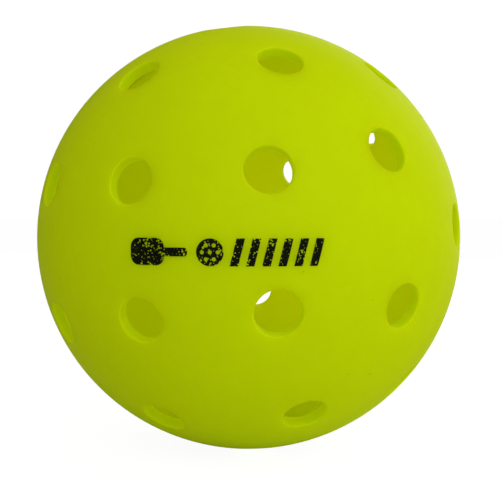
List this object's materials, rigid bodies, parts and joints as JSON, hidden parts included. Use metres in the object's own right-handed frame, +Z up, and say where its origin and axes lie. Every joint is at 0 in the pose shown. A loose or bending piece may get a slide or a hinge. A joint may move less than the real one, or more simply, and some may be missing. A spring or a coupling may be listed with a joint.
{
  "type": "pickleball ball",
  "caption": "Hollow perforated plastic ball for pickleball: two thin moulded half shells with rings of round holes, welded rim to rim, with a small printed mark on one pole.",
  "frame": {"origin": "centre of the ball", "axes": "moulding axis along Y with the printed pole at -Y, +Z up as the print is read, +X to the right of the print"},
  "size_m": [0.074, 0.074, 0.074],
  "materials": {
    "shell_plastic": "satin, slightly translucent fluorescent yellow-green polyethylene",
    "weld_plastic": "smooth remelted polyethylene",
    "mark_ink": "thin dull black pad-printed ink"
  },
  "bodies": {
    "root": {"front_half_shell": "shell_plastic", "rear_half_shell": "shell_plastic", "seam_weld_bead": "weld_plastic", "printed_mark": "mark_ink"}
  },
  "joints": []
}
